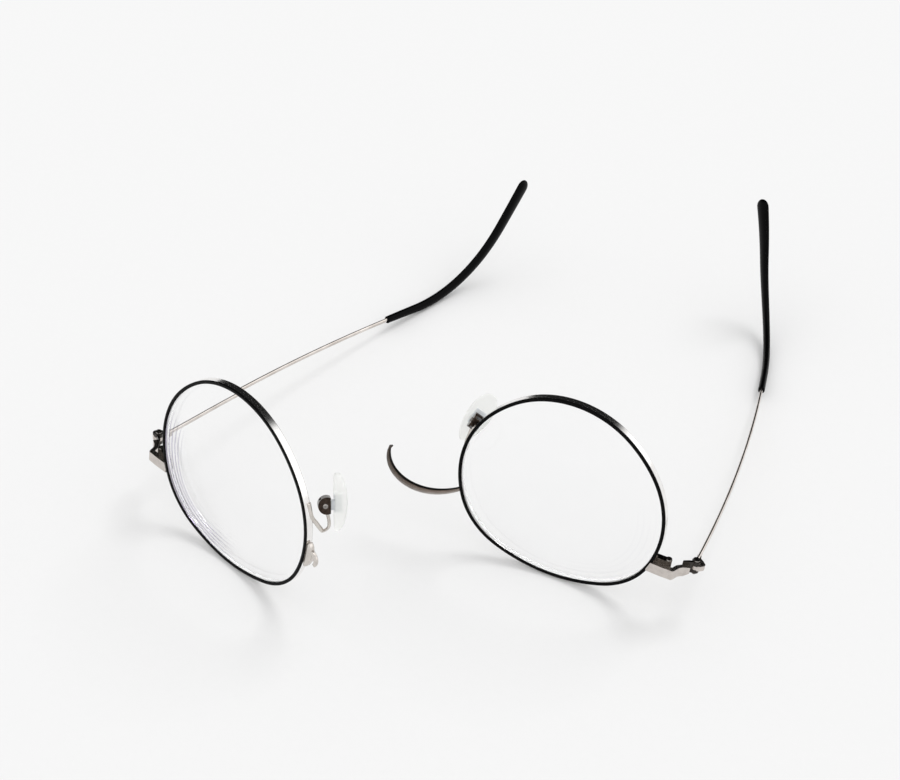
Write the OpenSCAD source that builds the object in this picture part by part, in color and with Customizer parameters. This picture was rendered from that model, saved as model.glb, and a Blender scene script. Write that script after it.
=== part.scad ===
// A pair of round metal eyeglasses, broken in two at the bridge.
// Both halves lie upside down: the brow edge of each rim and the bend of each temple tip
// rest on the floor, which is the plane Z = 0. The front of the lenses faces -Y.
// All sizes in millimetres, all angles in degrees.

/* [Lens outline] */
// Corner radius of the flat brow edge
brow_radius = 37; // [30:1:45]
// Radius of the two upper corners of the lens shape
corner_radius = 17; // [14:1:20]
// Radius of the two sides
side_radius = 25; // [22:1:28]
// Radius of the two cheek shoulders
shoulder_radius = 31; // [27:1:35]
// Heading where the brow edge turns into the corner
brow_turn = 21; // [18:1:24]
// Heading where the corner turns into the side
corner_turn = 68; // [62:1:74]
// Heading where the side turns into the shoulder
side_turn = 126; // [120:1:130]
// Heading where the shoulder turns into the cheek arc
shoulder_turn = 143; // [138:1:148]
// Distance from the lens centre to the brow edge
brow_drop = 22.9; // [21:0.1:25]

/* [Rim] */
// Depth of the rim wire, front to back
rim_depth = 2; // [1.6:0.1:2.6]
// Thickness of the rim wire seen from the front
rim_width = 0.8; // [0.7:0.05:1]
// Depth of the groove that holds the lens
groove_depth = 0.35; // [0.2:0.05:0.4]
// Width of the saw slit that closes on the rim lock
rim_slit = 0.1; // [0.05:0.05:0.2]

/* [Lens] */
// Radius of the front surface
lens_front_radius = 150; // [120:5:200]
// Radius of the hollow back surface
lens_back_radius = 105; // [90:5:130]
// Thickness in the middle
lens_middle = 1.3; // [1:0.1:2]
// How far the middle of the lens stands in front of the rim
lens_dome = 1.5; // [1:0.1:2]
// Play between the lens and the groove
lens_play = 0.05; // [0.03:0.01:0.1]

/* [Endpiece] */
// Height of the endpiece bar
bar_height = 2.5; // [2:0.1:2.8]
// Thickness of the endpiece bar
bar_thickness = 1.2; // [1:0.1:1.3]
// Middle height of the bar, measured from the lens centre
bar_level = -10.2; // [-12:0.1:-9]
// Height of the narrowed end of the bar
bar_end_height = 1.6; // [1.2:0.1:1.9]
// How far the bar stands in front of the rim
bar_front = 0.4; // [0.3:0.1:0.5]

/* [Rim lock] */
// Length of the lock blocks beyond the rim
lock_length = 4.3; // [3.8:0.1:4.4]
// Depth of the lock blocks, front to back
lock_depth = 1.6; // [1.4:0.1:1.8]
// Height of the block above the slit
lock_upper = 1.2; // [1:0.1:1.6]
// Radius of the lock screw
lock_screw_radius = 0.45; // [0.35:0.05:0.45]

/* [Hinge] */
// Pin position outward from the lens centre
hinge_out = 32.7; // [32.6:0.05:32.9]
// Pin position behind the front of the rim
hinge_back = 5.1; // [5:0.1:5.4]
// Middle height of the barrel
hinge_level = -9.5; // [-10:0.1:-9]
// Height of the barrel of three knuckles
barrel_height = 3; // [2.6:0.1:3.4]
// Radius of the barrel
barrel_radius = 1; // [0.9:0.05:1.1]
// Radius of the hinge screw
pin_radius = 0.45; // [0.35:0.05:0.5]
// Radial play of the hinge screw
pin_play = 0.05; // [0.03:0.01:0.08]
// Gap between neighbouring knuckles
knuckle_gap = 0.06; // [0.04:0.01:0.1]

/* [Temples] */
// Distance of the temple wire outward from the hinge pin
temple_offset = -0.15; // [-0.2:0.05:0.1]
// Where the temple wire starts behind the hinge pin
temple_lead = 0.6; // [0.4:0.1:1]
// Height of the temple wire, measured from the lens centre
temple_level = -9.1; // [-9.6:0.1:-8.8]
// Width of the temple wire
wire_width = 0.8; // [0.6:0.1:1]
// Height of the temple wire
wire_height = 1.2; // [0.8:0.1:1.3]
// Inward bow of the straight part for each 100 mm
temple_bow = 12; // [6:0.1:16]
// How much the straight part droops toward the brow side
temple_droop = 0; // [0:0.01:0.5]
// Length over which the ear bend happens
bend_length = 37; // [25:1:45]
// Length of each plastic tip
tip_length = 62.8; // [55:0.1:70]
// Thickness of each tip
tip_width = 1.8; // [1.4:0.1:2.6]
// Height of the tip where it starts
tip_start_height = 2.1; // [2:0.1:2.8]
// Height of the flat end of the tip
tip_end_height = 4.8; // [3:0.1:6]
// Length of wire pushed into the tip
wire_tuck = 4; // [2:1:8]

/* [Left temple] */
// Opening angle of the left temple, outward positive
left_open = 9.4; // [4:0.1:10]
// Total length of the left temple
left_length = 145.3; // [140:0.1:150]
// Distance from the hinge to the middle of the left ear bend
left_bend_at = 111.7; // [105:0.1:116]
// Angle of the left ear bend
left_bend = 53.5; // [40:0.5:70]
// Inward curl of the left tip for each 50 mm
left_curl = -6.5; // [-20:0.1:45]

/* [Right temple] */
// Opening angle of the right temple, outward positive
right_open = -0.8; // [-4:0.1:10]
// Total length of the right temple
right_length = 141.7; // [138:0.1:150]
// Distance from the hinge to the middle of the right ear bend
right_bend_at = 107.3; // [103:0.1:116]
// Angle of the right ear bend
right_bend = 63.5; // [40:0.5:70]
// Inward curl of the right tip for each 50 mm
right_curl = 39.9; // [-20:0.1:45]

/* [Nose pads] */
// Length of a pad
pad_length = 13; // [12:0.5:14]
// Width of a pad
pad_width = 5.5; // [5:0.1:6.5]
// Thickness of a pad
pad_thickness = 2.9; // [2.6:0.1:3.2]
// Radius of the rounded face that touches the nose
pad_dome_radius = 19; // [16:1:24]
// Turn of the left pad toward the wearer
left_splay = 53; // [50:1:56]
// Lean of the left pad along the rim
left_pad_lean = 25; // [22:1:28]
// Nod of the left pad
left_nod = 3; // [0:1:6]
// Turn of the right pad toward the wearer
right_splay = 68; // [65:1:70]
// Lean of the right pad along the rim
right_pad_lean = 28; // [25:1:30]
// Nod of the right pad
right_nod = -20; // [-22:1:-18]
// Radius of the rounded pad box
box_radius = 1.95; // [1.9:0.05:2.1]
// Width of the pad box
box_width = 2.4; // [2.2:0.1:2.8]
// Distance from the pad screw to the back of the pad
pad_reach = 2.05; // [2:0.05:2.2]

/* [Bridge] */
// Thickness of the bridge band, front to back
bridge_depth = 1; // [0.8:0.1:1.4]
// Height of the bridge band at its middle
bridge_height = 1.9; // [1.4:0.1:2.4]
// Height of the bridge band at its root on the rim
bridge_root_height = 0.9; // [0.7:0.1:1.2]
// Height of the bridge band at the break
bridge_break_height = 0.6; // [0.5:0.05:0.9]

/* [How the halves lie] */
// Turn of the left half seen from above
left_turn = -43.5; // [-60:0.1:-30]
// Backward lean of the left half
left_tip_back = -7.8; // [-9:0.01:-6]
// Sideways lean of the left half
left_lean = 1.2; // [-4:0.1:4]
// Turn of the right half seen from above
right_turn = -24.3; // [-40:0.1:-10]
// Backward lean of the right half
right_tip_back = -7.2; // [-9:0.01:-6]
// Sideways lean of the right half
right_lean = 2.5; // [-4:0.1:4]

/* [Build] */
// Node to draw, or all

/* [Hidden] */
$fn = 48;

// Colours
black_paint = [0.05, 0.05, 0.06];
steel = [0.74, 0.71, 0.68];
dark_steel = [0.4, 0.39, 0.37];
black_plastic = [0.03, 0.03, 0.03];
clear_glass = [0.85, 0.88, 0.92, 0.35];
clear_silicone = [0.9, 0.91, 0.9, 0.6];
blue_grey = [0.55, 0.6, 0.64];

// Where each half lies: position of its lens centre, and its angles
centring = [-7.77, -15.66, 0];
left_place = [-48.6, -39.4, 23.36];
right_place = [25.5, -40.1, 23.39];

// Outline of the lens: five tangent arcs on each side, from the brow edge to the cheek edge.
// The last radius is the one that brings the outline back to the centre line.
turns = [0, brow_turn, corner_turn, side_turn, shoulder_turn, 180];
drawn_radii = [brow_radius, corner_radius, side_radius, shoulder_radius];
function run_out(i) = i < 0 ? 0
  : run_out(i - 1) + drawn_radii[i] * (sin(turns[i + 1]) - sin(turns[i]));
cheek_radius = run_out(3) / sin(shoulder_turn);
radii = concat(drawn_radii, [cheek_radius]);
function joint(i) = i == 0 ? [0, -brow_drop]
  : joint(i - 1) + radii[i - 1] * [sin(turns[i]) - sin(turns[i - 1]),
                                   cos(turns[i - 1]) - cos(turns[i])];
function arc_centre(i) = joint(i) + radii[i] * [-sin(turns[i]), cos(turns[i])];
function outline_point(i, heading, grow) =
  arc_centre(i) + (radii[i] + grow) * [sin(heading), -cos(heading)];
outline_step = 3;
function arc_steps(i) = ceil((turns[i + 1] - turns[i]) / outline_step);
function half_outline(grow) = [
  for (i = [0:4]) for (k = [0:arc_steps(i) - 1])
    outline_point(i, turns[i] + (turns[i + 1] - turns[i]) * k / arc_steps(i), grow)
];
function flipped(points) = [for (k = [len(points) - 1:-1:1]) [-points[k].x, points[k].y]];
function outline(grow) =
  concat(half_outline(grow), [outline_point(4, 180, grow)], flipped(half_outline(grow)));

// Rim section, measured from the middle of the wire and back from its front face
half_width = rim_width / 2;
groove_middle = rim_depth / 2;
groove_half = 0.35;

// Lens section
lens_gap = half_width + lens_play;
bevel_tip = groove_depth - half_width - lens_play;
bevel_half = 0.3;
lens_clearance = bevel_tip + 0.1;
lens_back_vertex = lens_dome - lens_middle;
lens_blank_front = 3;
lens_blank_back = -6;
lens_facets = 360;

// Rim lock
bar_back = bar_thickness - bar_front;
rim_side_out = 22.9;
bar_face = [
  [rim_side_out, -bar_front], [26.4, -bar_front - 0.15], [29, -bar_front - 0.1],
  [29.35, 0], [29.9, 1.5], [30.65, 2.25], [32.1, 2.95]
];
bar_inside = [
  [31.7, 3.85], [30.1, 3.15], [29, 2.1], [28.5, bar_back], [rim_side_out, bar_back]
];
bar_narrowing = 30.9;
bar_end = 32.2;
bar_depth_limit = 6;
lock_inset = 0.1;
slit_level = bar_level + bar_height / 2 - lock_inset;
slit_reach = 1.5;
lock_middle = bar_back + lock_depth / 2;
lock_bottom = bar_level - bar_height / 2 + lock_inset;
lock_top = slit_level + rim_slit / 2 + lock_upper;
lock_hole_out = rim_side_out + lock_length;
lock_hole_radius = lock_screw_radius + 0.05;
lock_head_radius = 0.72;
lock_head_height = 0.35;
slot_width = 0.22;
slot_depth = 0.2;

// Hinge
knuckle_height = (barrel_height - 2 * knuckle_gap) / 3;
barrel_bottom = -barrel_height / 2;
middle_bottom = -knuckle_height / 2;
hole_radius = pin_radius + pin_play;
knuckle_room = barrel_radius + 0.08;
pin_head_radius = 0.8;
pin_head_height = 0.4;
pin_tail = 0.6;
// Plan of the tab that joins the fixed knuckles to the endpiece
leaf_tab = [
  [30.1, 3.15], [31.7, 3.85], [32.45, 4.2], [31.9, 4.65], [31.2, 4.3], [30.1, 3.55]
];
// Plan of the knob that joins the middle knuckle to the temple wire, from the pin
knob_plan = [
  [0.4, -0.95], [1.2, -0.7], [2, 0.1], [2.05, 0.8], [1.3, 1.7], [0.5, 2.4],
  [0.35, 3.3], [-0.6, 3.3], [-0.45, 1.5], [0.6, 0.9], [0.7, -0.2]
];
knob_height = 1.3;
knob_web_length = 1.5;
knob_web_width = 0.8;

// Temples
wire_steps = 26;
tip_steps = 34;
wire_sides = 10;
tip_sides = 16;

// Nose pads: place of the pad screw from the lens centre, outward, back and up
pad_screw_place = [-24.4, 5.4, 6.9];
left_pad = [left_splay, left_nod, left_pad_lean];
right_pad = [right_splay, right_nod, right_pad_lean];
pad_rise = 0.6;
pad_egg = 0.14;
pocket_mouth = 0.3;
box_flat = 1.2;
box_centre = 0.35;
box_slot = 1.5;
box_floor = 0.35;
pocket_length = 3;
lug_width = 1.2;
lug_radius = 1.1;
insert_length = 4;
insert_width = 2.8;
insert_thickness = 1.5;
insert_play = 0.04;
pad_screw_radius = 0.4;
pad_screw_play = 0.05;
pad_screw_head = 0.55;
pad_screw_head_height = 0.3;

// Pad arms: from the outside of the rim, back past the lens edge, and up into the pad box
arm_root = [[-23.2, 1.6, 8.4], [-24.15, 1.93, 5.05], [-24.44, 3.22, 2.93]];
left_arm = concat(arm_root, [
  [-24.85, 4.6, 0.68], [-25.13, 5, 0.24], [-25.88, 5.4, 1.12], [-26.17, 5.6, 2.12],
  [-25.81, 5.7, 3.48], [-25.34, 5.42, 5.3]
]);
right_arm = concat(arm_root, [
  [-24.7, 3.7, 1], [-25, 3.95, 0.3], [-25.55, 4.1, 0.85], [-25.67, 4.25, 1.85],
  [-25.38, 4.6, 3.3], [-25.14, 5.02, 5.2]
]);
arm_half = [
  [0.45, 0.35], [0.5, 0.35], [0.5, 0.35], [0.5, 0.36], [0.42, 0.34], [0.36, 0.32],
  [0.36, 0.32], [0.36, 0.34], [0.38, 0.38]
];
arm_steps = 4;
arm_sides = 10;

// Bridge: a curve from its root on the right rim over the crest to the broken end
bridge_root = [-23.6, 1.3, -9.1];
bridge_root_pull = [-33, -1.6, -15.45];
bridge_break_pull = [-42.5, -2.4, -10.6];
bridge_break = [-43.15, 1, -5.7];
bridge_steps = 30;
bridge_sides = 12;
// The torn end bends over in two short steps from the break
hook_steps = [[0.2, 0, 0.8], [0.65, 0, 1.15]];
hook_half = [[0.36, 0.4], [0.2, 0.28]];

// Stub of the bridge on the left rim
stub_root = [-24.9, 1, -3.4];
stub_root_pull = [-27.9, 0.8, -2.2];
stub_break_pull = [-28.8, 0.6, -4.4];
stub_break = [-27.6, 0.9, -5.9];
stub_steps = 12;
stub_sides = 12;
stub_root_half = [0.85, 0.55];
stub_break_half = [0.55, 0.4];
stub_plate = [
  [-24.9, -7.9], [-25.8, -7.2], [-26.7, -5.4], [-26.8, -3.6], [-26.3, -1.6], [-25.7, -0.8],
  [-25.2, -1.2], [-25.05, -4], [-24.6, -7.4]
];
stub_plate_front = 0.3;
stub_plate_depth = 1.4;

// A tube along a path. Each section is [half width, half height]. The height of a section
// stays close to the direction given as up.
function unit(v) = v / norm(v);
function path_heading(path, k) =
  unit(path[min(k + 1, len(path) - 1)] - path[max(k - 1, 0)]);
function ring(path, halves, up, sides, k) =
  let (ahead = path_heading(path, k))
  let (side = unit(cross(ahead, up)))
  let (lift = cross(side, ahead))
  [for (j = [0:sides - 1])
    path[k] + halves[k].x * cos(360 * j / sides) * side
            + halves[k].y * sin(360 * j / sides) * lift];
module tube(path, halves, up, sides) {
  last = len(path) - 1;
  points = [for (k = [0:last]) for (p = ring(path, halves, up, sides, k)) p];
  walls = [
    for (k = [0:last - 1]) for (j = [0:sides - 1])
      let (a = k * sides + j)
      let (b = k * sides + (j + 1) % sides)
      each [[a, b, a + sides], [b, b + sides, a + sides]]
  ];
  start_cap = [[for (j = [sides - 1:-1:0]) j]];
  end_cap = [[for (j = [0:sides - 1]) last * sides + j]];
  polyhedron(points = points, faces = concat(walls, start_cap, end_cap), convexity = 6);
}

// A smooth curve from a start to an end, drawn toward two pull points
function pulled(a, b, c, d, t) =
  pow(1 - t, 3) * a + 3 * pow(1 - t, 2) * t * b + 3 * (1 - t) * t * t * c + t * t * t * d;

// A smooth curve through all the points of a list
function at(list, k) = list[max(0, min(k, len(list) - 1))];
function through(list, k, t) =
  0.5 * (2 * at(list, k)
    + t * (at(list, k + 1) - at(list, k - 1))
    + t * t * (2 * at(list, k - 1) - 5 * at(list, k) + 4 * at(list, k + 1) - at(list, k + 2))
    + t * t * t * (3 * at(list, k) - at(list, k - 1) - 3 * at(list, k + 1) + at(list, k + 2)));
function smooth(list, steps) = concat(
  [for (k = [0:len(list) - 2]) for (j = [0:steps - 1]) through(list, k, j / steps)],
  [list[len(list) - 1]]
);
function blended(list, steps) = concat(
  [for (k = [0:len(list) - 2]) for (j = [0:steps - 1])
    list[k] + (list[k + 1] - list[k]) * j / steps],
  [list[len(list) - 1]]
);

// Temple line. It runs straight back with a slight bow and then rises through the ear bend.
function bend_start(bend_at) = bend_at - bend_length / 2;
function heading(s, bend_at, curl) =
  s < bend_start(bend_at) ? -temple_bow * s / 100
    : -temple_bow * bend_start(bend_at) / 100 - curl * (s - bend_start(bend_at)) / 50;
function rise(s, bend_at, bend) =
  -temple_droop + bend * max(0, min(1, (s - bend_start(bend_at)) / bend_length));
function way(s, bend_at, bend, curl) =
  let (h = heading(s, bend_at, curl))
  let (e = rise(s, bend_at, bend))
  [sin(h) * cos(e), cos(h) * cos(e), sin(e)];
line_step = 1;
function temple_line(length, bend_at, bend, curl) = [
  for (k = 0, p = [temple_offset, temple_lead, 0]; k <= length / line_step;
       p = p + line_step * way((k + 0.5) * line_step, bend_at, bend, curl), k = k + 1) p
];
function on_line(line, s) =
  let (k = min(floor(s / line_step), len(line) - 2))
  line[k] + (line[k + 1] - line[k]) * (s / line_step - k);
function stations(from, to, steps) = [for (k = [0:steps]) from + (to - from) * k / steps];
wire_start = 1.2;
tip_round = 2.2;
tip_round_shares = [0.3, 0.55, 0.75, 0.9, 1];
tip_smallest = 0.25;
function tip_share(left) =
  left < tip_round ? max(tip_smallest, sqrt(1 - pow(1 - left / tip_round, 2))) : 1;
function tip_height(s) = tip_start_height + (tip_end_height - tip_start_height) * s / tip_length;

// Placing
module left_half() {
  translate(centring + left_place)
    rotate([0, 0, left_turn]) rotate([left_tip_back, 0, 0]) rotate([0, left_lean, 0])
      mirror([1, 0, 0]) children();
}
module right_half() {
  translate(centring + right_place)
    rotate([0, 0, right_turn]) rotate([right_tip_back, 0, 0]) rotate([0, right_lean, 0])
      children();
}
// Turns a shape drawn face up into one that stands with its face forward
module stand() {
  rotate([90, 0, 0]) children();
}
module at_hinge() {
  translate([hinge_out, hinge_back, hinge_level]) children();
}
module at_temple(open) {
  translate([hinge_out, hinge_back, 0]) rotate([0, 0, -open]) children();
}
// The angles of a pad are its splay, nod and lean
module at_pad(angles) {
  translate(pad_screw_place)
    rotate([0, 0, -angles.x]) rotate([0, angles.y, 0]) rotate([-angles.z, 0, 0]) children();
}

// A slab in the shape of the lens outline, grown outward and cut between two levels
module slab(grow, low, high) {
  translate([0, 0, low]) linear_extrude(high - low) polygon(outline(grow));
}

module rim() {
  difference() {
    stand() difference() {
      slab(half_width, -rim_depth, 0);
      slab(-half_width, -rim_depth - 1, 1);
      slab(groove_depth - half_width, -groove_middle - groove_half,
        groove_half - groove_middle);
    }
    translate([rim_side_out - slit_reach, -1, slit_level - rim_slit / 2])
      cube([2 * slit_reach, rim_depth + 2, rim_slit]);
  }
}

module lens() {
  stand() difference() {
    intersection() {
      union() {
        slab(-lens_gap, lens_blank_back, lens_blank_front);
        slab(bevel_tip, -bevel_half - groove_middle, bevel_half - groove_middle);
      }
      translate([0, 0, lens_dome - lens_front_radius])
        sphere(lens_front_radius, $fn = lens_facets);
    }
    translate([0, 0, lens_back_vertex - lens_back_radius])
      sphere(lens_back_radius, $fn = lens_facets);
  }
}

// Plan of a lock block: straight sides and a round outer end. Its inner end stops short of
// the lens.
module lock_block(bottom, top) {
  difference() {
    union() {
      translate([rim_side_out, bar_back, bottom])
        cube([lock_length, lock_depth, top - bottom]);
      translate([lock_hole_out, lock_middle, bottom])
        cylinder(r = lock_depth / 2, h = top - bottom);
    }
    translate([lock_hole_out, lock_middle, bottom - 1])
      cylinder(r = lock_hole_radius, h = top - bottom + 2);
    stand() slab(lens_clearance, lens_blank_back, lens_blank_front);
  }
}
module rim_lock_lower() {
  lock_block(lock_bottom, slit_level - rim_slit / 2);
}
module rim_lock_upper() {
  lock_block(slit_level + rim_slit / 2, lock_top);
}
module slotted_head(radius, height) {
  difference() {
    cylinder(r = radius, h = height);
    translate([-radius - 1, -slot_width / 2, height - slot_depth])
      cube([2 * radius + 2, slot_width, slot_depth + 1]);
  }
}
module rim_lock_screw() {
  translate([lock_hole_out, lock_middle, lock_bottom])
    cylinder(r = lock_screw_radius, h = lock_top - lock_bottom);
  translate([lock_hole_out, lock_middle, lock_top])
    slotted_head(lock_head_radius, lock_head_height);
}

// Plan of the endpiece: along the front, round the corner and back to the hinge
module endpiece() {
  difference() {
    intersection() {
      translate([0, 0, bar_level - bar_height / 2]) linear_extrude(bar_height)
        polygon(concat(bar_face, bar_inside));
      translate([0, bar_depth_limit, bar_level]) rotate([90, 0, 0])
        linear_extrude(2 * bar_depth_limit) polygon([
          [rim_side_out, -bar_height / 2], [bar_narrowing, -bar_height / 2],
          [bar_end, bar_height / 2 - bar_end_height], [bar_end, bar_height / 2],
          [rim_side_out, bar_height / 2]
        ]);
    }
    stand() slab(lens_clearance, lens_blank_back, lens_blank_front);
  }
}

module hinge_front_leaf() {
  at_hinge() difference() {
    union() {
      translate([0, 0, barrel_bottom]) cylinder(r = barrel_radius, h = barrel_height);
      translate([-hinge_out, -hinge_back, barrel_bottom]) linear_extrude(barrel_height)
        polygon(leaf_tab);
    }
    translate([0, 0, barrel_bottom - 1]) cylinder(r = hole_radius, h = barrel_height + 2);
    translate([0, 0, middle_bottom - knuckle_gap])
      cylinder(r = knuckle_room, h = knuckle_height + 2 * knuckle_gap);
  }
}
module hinge_screw() {
  at_hinge() {
    translate([0, 0, barrel_bottom - pin_tail])
      cylinder(r = pin_radius, h = barrel_height + pin_tail);
    translate([0, 0, -barrel_bottom])
      slotted_head(pin_head_radius, pin_head_height);
  }
}
module hinge_temple_leaf(open) {
  translate([0, 0, hinge_level]) at_temple(open) difference() {
    union() {
      translate([0, 0, middle_bottom]) cylinder(r = barrel_radius, h = knuckle_height);
      difference() {
        translate([0, 0, -knob_height / 2]) linear_extrude(knob_height) polygon(knob_plan);
        translate([0, 0, middle_bottom + knuckle_height])
          cylinder(r = knuckle_room, h = knob_height);
        translate([0, 0, middle_bottom - knob_height])
          cylinder(r = knuckle_room, h = knob_height);
      }
      translate([0, -knob_web_width / 2, middle_bottom])
        cube([knob_web_length, knob_web_width, knuckle_height]);
    }
    translate([0, 0, -barrel_height]) cylinder(r = hole_radius, h = 2 * barrel_height);
  }
}

module temple_wire(open, length, bend_at, bend, curl) {
  line = temple_line(length, bend_at, bend, curl);
  spots = stations(wire_start, length - tip_length + wire_tuck, wire_steps);
  translate([0, 0, temple_level]) at_temple(open) tube(
    [for (s = spots) on_line(line, s)],
    [for (s = spots) [wire_width / 2, wire_height / 2]],
    [0, 0, 1], wire_sides
  );
}
module temple_tip(open, length, bend_at, bend, curl) {
  line = temple_line(length, bend_at, bend, curl);
  start = length - tip_length;
  spots = concat(
    stations(start, length - tip_round, tip_steps),
    [for (t = tip_round_shares) length - tip_round * (1 - t)]
  );
  translate([0, 0, temple_level]) at_temple(open) tube(
    [for (s = spots) on_line(line, s)],
    [for (s = spots) tip_share(length - s) * [tip_width, tip_height(s - start)] / 2],
    [0, 0, 1], tip_sides
  );
}

module pad_arm(path) {
  tube(smooth(path, arm_steps), blended(arm_half, arm_steps), [1, 0, 0], arm_sides);
}
// The box, screw, insert and pad are drawn with the nose along -X and the pad's length up
module pad_box(angles) {
  at_pad(angles) difference() {
    intersection() {
      translate([-box_centre, box_width / 2, 0]) rotate([90, 0, 0])
        cylinder(r = box_radius, h = box_width);
      translate([-box_flat, -box_width, -box_radius])
        cube([2 * box_radius, 2 * box_width, 2 * box_radius]);
    }
    translate([-box_flat - 1, -box_slot / 2, -pocket_length / 2])
      cube([1 + box_flat - box_centre + box_radius - box_floor, box_slot, pocket_length]);
    translate([0, box_width, 0]) rotate([90, 0, 0])
      cylinder(r = pad_screw_radius + pad_screw_play, h = 2 * box_width);
  }
}
module pad_screw(angles) {
  at_pad(angles) {
    translate([0, box_width / 2, 0]) rotate([90, 0, 0])
      cylinder(r = pad_screw_radius, h = box_width);
    translate([0, -box_width / 2, 0]) rotate([90, 0, 0])
      slotted_head(pad_screw_head, pad_screw_head_height);
  }
}
module insert_plate(play) {
  translate([-pad_reach - insert_thickness - play, -insert_width / 2 - play,
             pad_rise - insert_length / 2 - play])
    cube([insert_thickness + 2 * play, insert_width + 2 * play, insert_length + 2 * play]);
}
module pad_insert(angles) {
  at_pad(angles) difference() {
    union() {
      insert_plate(0);
      translate([0, lug_width / 2, 0]) rotate([90, 0, 0])
        cylinder(r = lug_radius, h = lug_width);
      translate([-pad_reach, -lug_width / 2, -lug_radius])
        cube([pad_reach, lug_width, 2 * lug_radius]);
    }
    translate([0, lug_width, 0]) rotate([90, 0, 0])
      cylinder(r = pad_screw_radius + pad_screw_play, h = 2 * lug_width);
  }
}
pad_outline_points = 40;
pad_facets = 160;
module nose_pad(angles) {
  at_pad(angles) difference() {
    intersection() {
      translate([-pad_reach, 0, pad_rise]) rotate([0, -90, 0])
        linear_extrude(pad_thickness) polygon([
          for (k = [0:pad_outline_points - 1])
            let (a = 360 * k / pad_outline_points)
            [pad_length / 2 * cos(a), pad_width / 2 * sin(a) * (1 + pad_egg * cos(a))]
        ]);
      translate([pad_dome_radius - pad_reach - pad_thickness, 0, pad_rise])
        sphere(pad_dome_radius, $fn = pad_facets);
    }
    insert_plate(insert_play);
    translate([-pad_reach - pocket_mouth, -insert_width / 2 - insert_play,
               pad_rise - insert_length / 2 - insert_play])
      cube([2 * pocket_mouth, insert_width + 2 * insert_play,
            insert_length + 2 * insert_play]);
  }
}

function band_height(t) =
  let (plain = bridge_root_height + (bridge_break_height - bridge_root_height) * t)
  plain + (bridge_height - plain) * sin(180 * t);
module bridge() {
  curve = [
    for (k = [0:bridge_steps])
      pulled(bridge_root, bridge_root_pull, bridge_break_pull, bridge_break, k / bridge_steps)
  ];
  hook = [for (h = hook_steps) bridge_break + h];
  halves = [for (k = [0:bridge_steps]) [band_height(k / bridge_steps), bridge_depth] / 2];
  tube(concat(curve, hook), concat(halves, hook_half), [0, 1, 0], bridge_sides);
}
module bridge_stub() {
  union() {
    tube(
      [for (k = [0:stub_steps])
        pulled(stub_root, stub_root_pull, stub_break_pull, stub_break, k / stub_steps)],
      [for (k = [0:stub_steps])
        stub_root_half + (stub_break_half - stub_root_half) * k / stub_steps],
      [0, 1, 0], stub_sides
    );
    stand() translate([0, 0, -stub_plate_front - stub_plate_depth])
      linear_extrude(stub_plate_depth) polygon(stub_plate);
  }
}

color(black_paint) left_half() rim();  // left_rim
color(clear_glass) left_half() lens();  // left_lens
color(steel) left_half() rim_lock_lower();  // left_rim_lock_lower
color(steel) left_half() rim_lock_upper();  // left_rim_lock_upper
color(steel) left_half() rim_lock_screw();  // left_rim_lock_screw
color(steel) left_half() endpiece();  // left_endpiece
color(dark_steel) left_half() hinge_front_leaf();  // left_hinge_front_leaf
color(steel) left_half() hinge_temple_leaf(left_open);  // left_hinge_temple_leaf
color(dark_steel) left_half() hinge_screw();  // left_hinge_screw
color(steel) left_half()  // left_temple_wire
  temple_wire(left_open, left_length, left_bend_at, left_bend, left_curl);
color(black_plastic) left_half()  // left_temple_tip
  temple_tip(left_open, left_length, left_bend_at, left_bend, left_curl);
color(steel) left_half() pad_arm(left_arm);  // left_pad_arm
color(dark_steel) left_half() pad_box(left_pad);  // left_pad_box
color(steel) left_half() pad_screw(left_pad);  // left_pad_screw
color(blue_grey) left_half() pad_insert(left_pad);  // left_pad_insert
color(clear_silicone) left_half() nose_pad(left_pad);  // left_nose_pad
color(steel) left_half() bridge_stub();  // left_bridge_stub
color(black_paint) right_half() rim();  // right_rim
color(clear_glass) right_half() lens();  // right_lens
color(steel) right_half() rim_lock_lower();  // right_rim_lock_lower
color(steel) right_half() rim_lock_upper();  // right_rim_lock_upper
color(steel) right_half() rim_lock_screw();  // right_rim_lock_screw
color(steel) right_half() endpiece();  // right_endpiece
color(dark_steel) right_half() hinge_front_leaf();  // right_hinge_front_leaf
color(steel) right_half() hinge_temple_leaf(right_open);  // right_hinge_temple_leaf
color(dark_steel) right_half() hinge_screw();  // right_hinge_screw
color(steel) right_half()  // right_temple_wire
  temple_wire(right_open, right_length, right_bend_at, right_bend, right_curl);
color(black_plastic) right_half()  // right_temple_tip
  temple_tip(right_open, right_length, right_bend_at, right_bend, right_curl);
color(steel) right_half() pad_arm(right_arm);  // right_pad_arm
color(dark_steel) right_half() pad_box(right_pad);  // right_pad_box
color(steel) right_half() pad_screw(right_pad);  // right_pad_screw
color(blue_grey) right_half() pad_insert(right_pad);  // right_pad_insert
color(clear_silicone) right_half() nose_pad(right_pad);  // right_nose_pad
color(steel) right_half() bridge();  // right_bridge
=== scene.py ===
"""Looks for the broken eyeglasses: smooth meshes, materials, light and camera."""
import math

import bmesh
import bpy
import numpy as np
from mathutils import Matrix, Vector


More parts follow.
